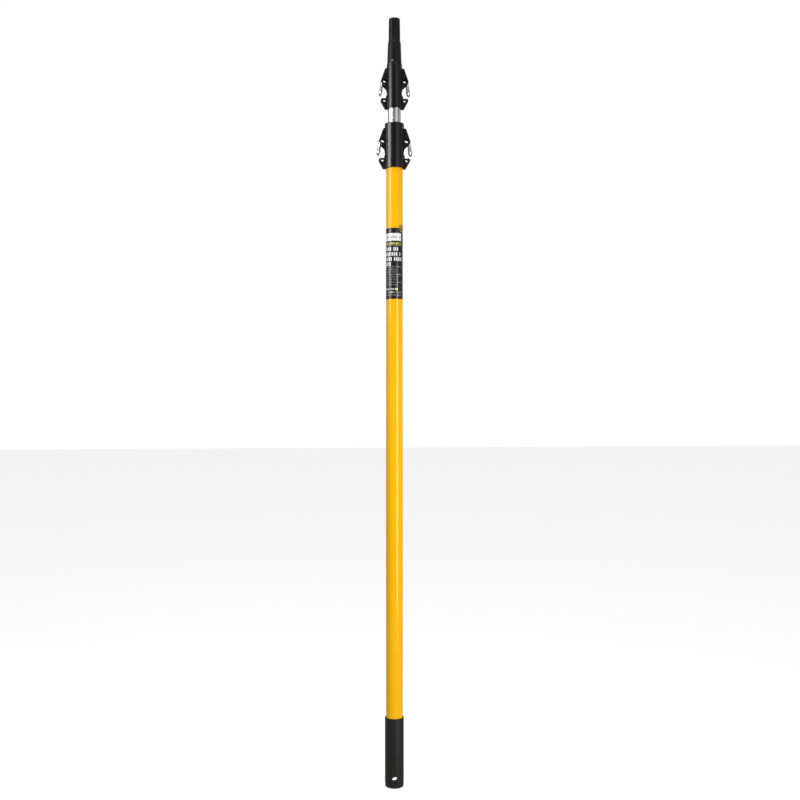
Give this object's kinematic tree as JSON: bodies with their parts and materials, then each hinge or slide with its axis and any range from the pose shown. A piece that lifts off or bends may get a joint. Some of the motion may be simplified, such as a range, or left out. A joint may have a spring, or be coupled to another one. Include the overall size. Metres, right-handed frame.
{
  "type": "telescopic extension pole",
  "caption": "Three-section telescopic extension pole for paint rollers, with squeeze-lever locks, a hang-hole grip and a fluted push-fit tip.",
  "frame": {"origin": "centre of the grip's end face, on the pole's axis", "axes": "+Z along the pole from the grip to the roller tip; the levers stand out along +X and -X; the clean rim of the hang hole faces -Y"},
  "size_m": [0.0692, 0.0378, 1.503],
  "materials": {
    "yellow_tube_finish": "glossy yellow lacquer on drawn aluminium tube",
    "grip_plastic": "moulded black plastic, satin",
    "lock_plastic": "moulded black plastic, satin",
    "tip_plastic": "moulded black plastic, satin",
    "label_film": "printed black film, glossy",
    "bare_aluminium": "bare drawn tube, fine lengthwise lines",
    "lever_metal": "bright plated pressed sheet",
    "tooth_steel": "turned steel",
    "steel_hardware": "blackened steel",
    "spring_steel": "drawn spring wire",
    "rivet_metal": "dull steel rivet",
    "bush_plastic": "natural nylon"
  },
  "bodies": {
    "outer_section": {"outer_tube": "yellow_tube_finish", "bottom_grip": "grip_plastic", "grip_screw": "steel_hardware", "tube_end_plug": "bush_plastic", "product_label": "label_film", "lower_lock_housing": "lock_plastic", "lower_guide_bush": "bush_plastic", "lower_housing_screws": "steel_hardware", "lower_right_pivot_pin": "steel_hardware", "lower_left_pivot_pin": "steel_hardware", "lower_right_return_spring": "spring_steel", "lower_left_return_spring": "spring_steel"},
    "middle_section": {"middle_tube": "bare_aluminium", "middle_end_bush": "bush_plastic", "upper_lock_housing": "lock_plastic", "upper_guide_bush": "bush_plastic", "upper_housing_screws": "steel_hardware", "upper_right_pivot_pin": "steel_hardware", "upper_left_pivot_pin": "steel_hardware", "upper_right_return_spring": "spring_steel", "upper_left_return_spring": "spring_steel"},
    "inner_section": {"inner_tube": "bare_aluminium", "inner_end_bush": "bush_plastic", "roller_tip": "tip_plastic", "tip_rivet": "rivet_metal"},
    "lower_right_squeeze_lever": {"lower_right_lever": "lever_metal", "lower_right_lock_tooth": "tooth_steel"},
    "lower_left_squeeze_lever": {"lower_left_lever": "lever_metal", "lower_left_lock_tooth": "tooth_steel"},
    "upper_right_squeeze_lever": {"upper_right_lever": "lever_metal", "upper_right_lock_tooth": "tooth_steel"},
    "upper_left_squeeze_lever": {"upper_left_lever": "lever_metal", "upper_left_lock_tooth": "tooth_steel"}
  },
  "joints": [
    {"name": "middle_slide", "type": "slide", "parent": "outer_section", "child": "middle_section", "axis": [0, 0, 1], "range_m": [0, 1.08]},
    {"name": "inner_slide", "type": "slide", "parent": "middle_section", "child": "inner_section", "axis": [0, 0, 1], "range_m": [0, 1.08]},
    {"name": "lower_right_squeeze", "type": "hinge", "parent": "outer_section", "child": "lower_right_squeeze_lever", "pos_m": [0.0216, 0, 1.2743], "axis": [0, 1, 0], "range_deg": [0, 13], "stiffness_Nm_per_rad": 1.2, "springref_deg": -14.32, "deforming": ["lower_right_return_spring"]},
    {"name": "lower_left_squeeze", "type": "hinge", "parent": "outer_section", "child": "lower_left_squeeze_lever", "pos_m": [-0.0216, 0, 1.2743], "axis": [0, -1, 0], "range_deg": [0, 13], "stiffness_Nm_per_rad": 1.2, "springref_deg": -14.32, "deforming": ["lower_left_return_spring"]},
    {"name": "upper_right_squeeze", "type": "hinge", "parent": "middle_section", "child": "upper_right_squeeze_lever", "pos_m": [0.0178, 0, 1.3913], "axis": [0, 1, 0], "range_deg": [0, 13], "stiffness_Nm_per_rad": 1.2, "springref_deg": -14.32, "deforming": ["upper_right_return_spring"]},
    {"name": "upper_left_squeeze", "type": "hinge", "parent": "middle_section", "child": "upper_left_squeeze_lever", "pos_m": [-0.0178, 0, 1.3913], "axis": [0, -1, 0], "range_deg": [0, 13], "stiffness_Nm_per_rad": 1.2, "springref_deg": -14.32, "deforming": ["upper_left_return_spring"]}
  ]
}
